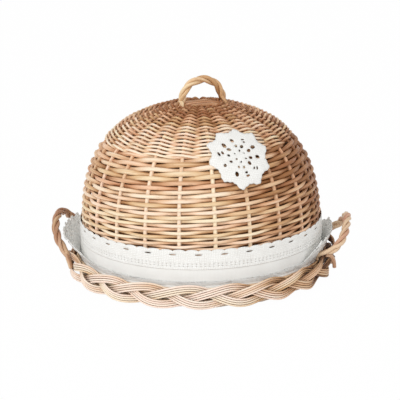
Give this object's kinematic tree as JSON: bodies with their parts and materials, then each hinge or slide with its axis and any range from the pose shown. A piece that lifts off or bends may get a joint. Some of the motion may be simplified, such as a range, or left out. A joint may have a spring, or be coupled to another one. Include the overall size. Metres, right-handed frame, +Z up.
{
  "type": "lidded wicker basket",
  "caption": "Round willow tray with a plaited border, rope-twist side handles and a cotton liner, under a lift-off woven dome lid with a loop handle, lace band and crochet doily.",
  "frame": {"origin": "middle of the tray's underside, on the floor", "axes": "+Z up, side handles on +X and -X, the doily side of the lid towards -Y"},
  "size_m": [0.3758, 0.3404, 0.2425],
  "materials": {
    "peeled_willow": "satin",
    "brown_willow": "satin",
    "cotton_cloth": "matte",
    "cotton_lace": "matte"
  },
  "bodies": {
    "tray": {"base_stick_01": "peeled_willow", "base_stick_02": "peeled_willow", "base_stick_03": "peeled_willow", "base_stick_04": "peeled_willow", "base_stick_05": "peeled_willow", "base_stick_06": "peeled_willow", "base_stick_07": "peeled_willow", "base_stick_08": "peeled_willow", "base_weave": "peeled_willow", "right_handle_rod_01": "brown_willow", "right_handle_rod_02": "brown_willow", "right_handle_rod_03": "brown_willow", "left_handle_rod_01": "brown_willow", "left_handle_rod_02": "brown_willow", "left_handle_rod_03": "brown_willow", "wall_weave": "peeled_willow", "border_plait_strand_01": "peeled_willow", "border_plait_strand_02": "peeled_willow", "border_plait_strand_03": "peeled_willow", "liner_cloth": "cotton_cloth", "liner_lace_frill": "cotton_lace"},
    "lid": {"lid_stake_01": "peeled_willow", "lid_stake_02": "peeled_willow", "lid_stake_03": "peeled_willow", "lid_stake_04": "peeled_willow", "lid_stake_05": "peeled_willow", "lid_stake_06": "peeled_willow", "lid_stake_07": "peeled_willow", "lid_stake_08": "peeled_willow", "lid_stake_09": "peeled_willow", "lid_stake_10": "peeled_willow", "lid_stake_11": "peeled_willow", "top_handle_rod_01": "brown_willow", "top_handle_rod_02": "brown_willow", "top_handle_rod_03": "brown_willow", "lid_crown_weave": "peeled_willow", "lid_side_weave": "peeled_willow", "lid_rim_border": "peeled_willow", "lid_cotton_hem": "cotton_cloth", "lid_cotton_lining": "cotton_cloth", "lid_lace_ribbon": "cotton_lace", "crochet_doily": "cotton_lace"}
  },
  "joints": [
    {"name": "lid_lift", "type": "slide", "parent": "tray", "child": "lid", "axis": [0, 0, 1], "range_m": [0, 0.15]}
  ]
}
